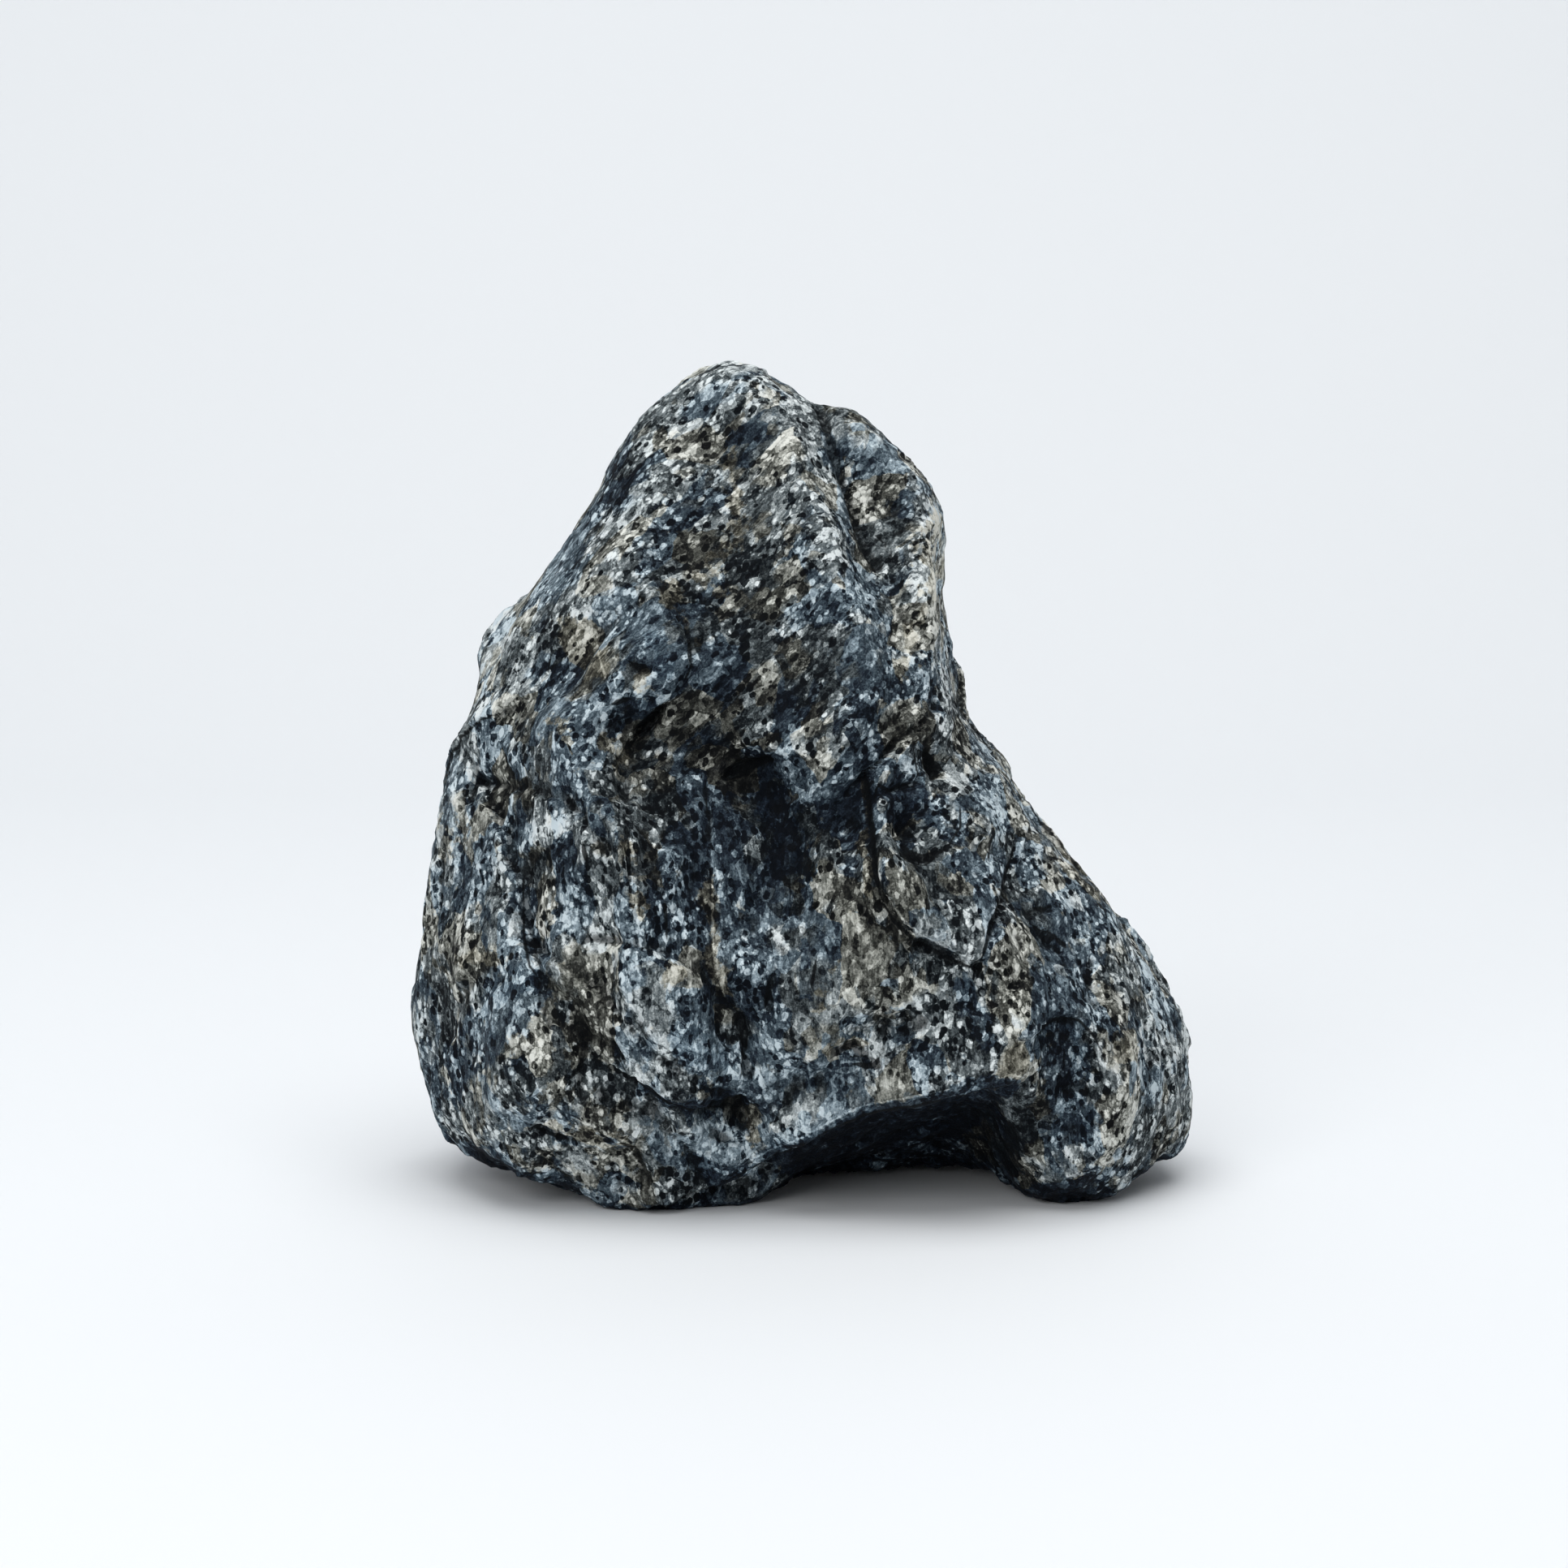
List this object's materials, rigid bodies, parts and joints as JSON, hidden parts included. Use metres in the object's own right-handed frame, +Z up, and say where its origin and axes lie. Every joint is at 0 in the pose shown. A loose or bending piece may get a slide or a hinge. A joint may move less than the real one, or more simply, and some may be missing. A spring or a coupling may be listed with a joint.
{
  "type": "rough labradorite stone",
  "caption": "Rough, unpolished labradorite specimen: a blunt upright wedge with a cleft peak, a deep central hollow and an undercut front edge, standing on its own base.",
  "frame": {"origin": "on the ground plane, under the middle of the stone's bounding box", "axes": "+Z up as the stone stands, +X to the right seen from the face in the picture, which looks towards -Y"},
  "size_m": [0.0644, 0.0468, 0.067],
  "materials": {
    "labradorite": "rough broken surface, blue-black and grey with pale flecks and olive-tan patches, fairly matt"
  },
  "bodies": {
    "root": {"labradorite_stone": "labradorite"}
  },
  "joints": []
}
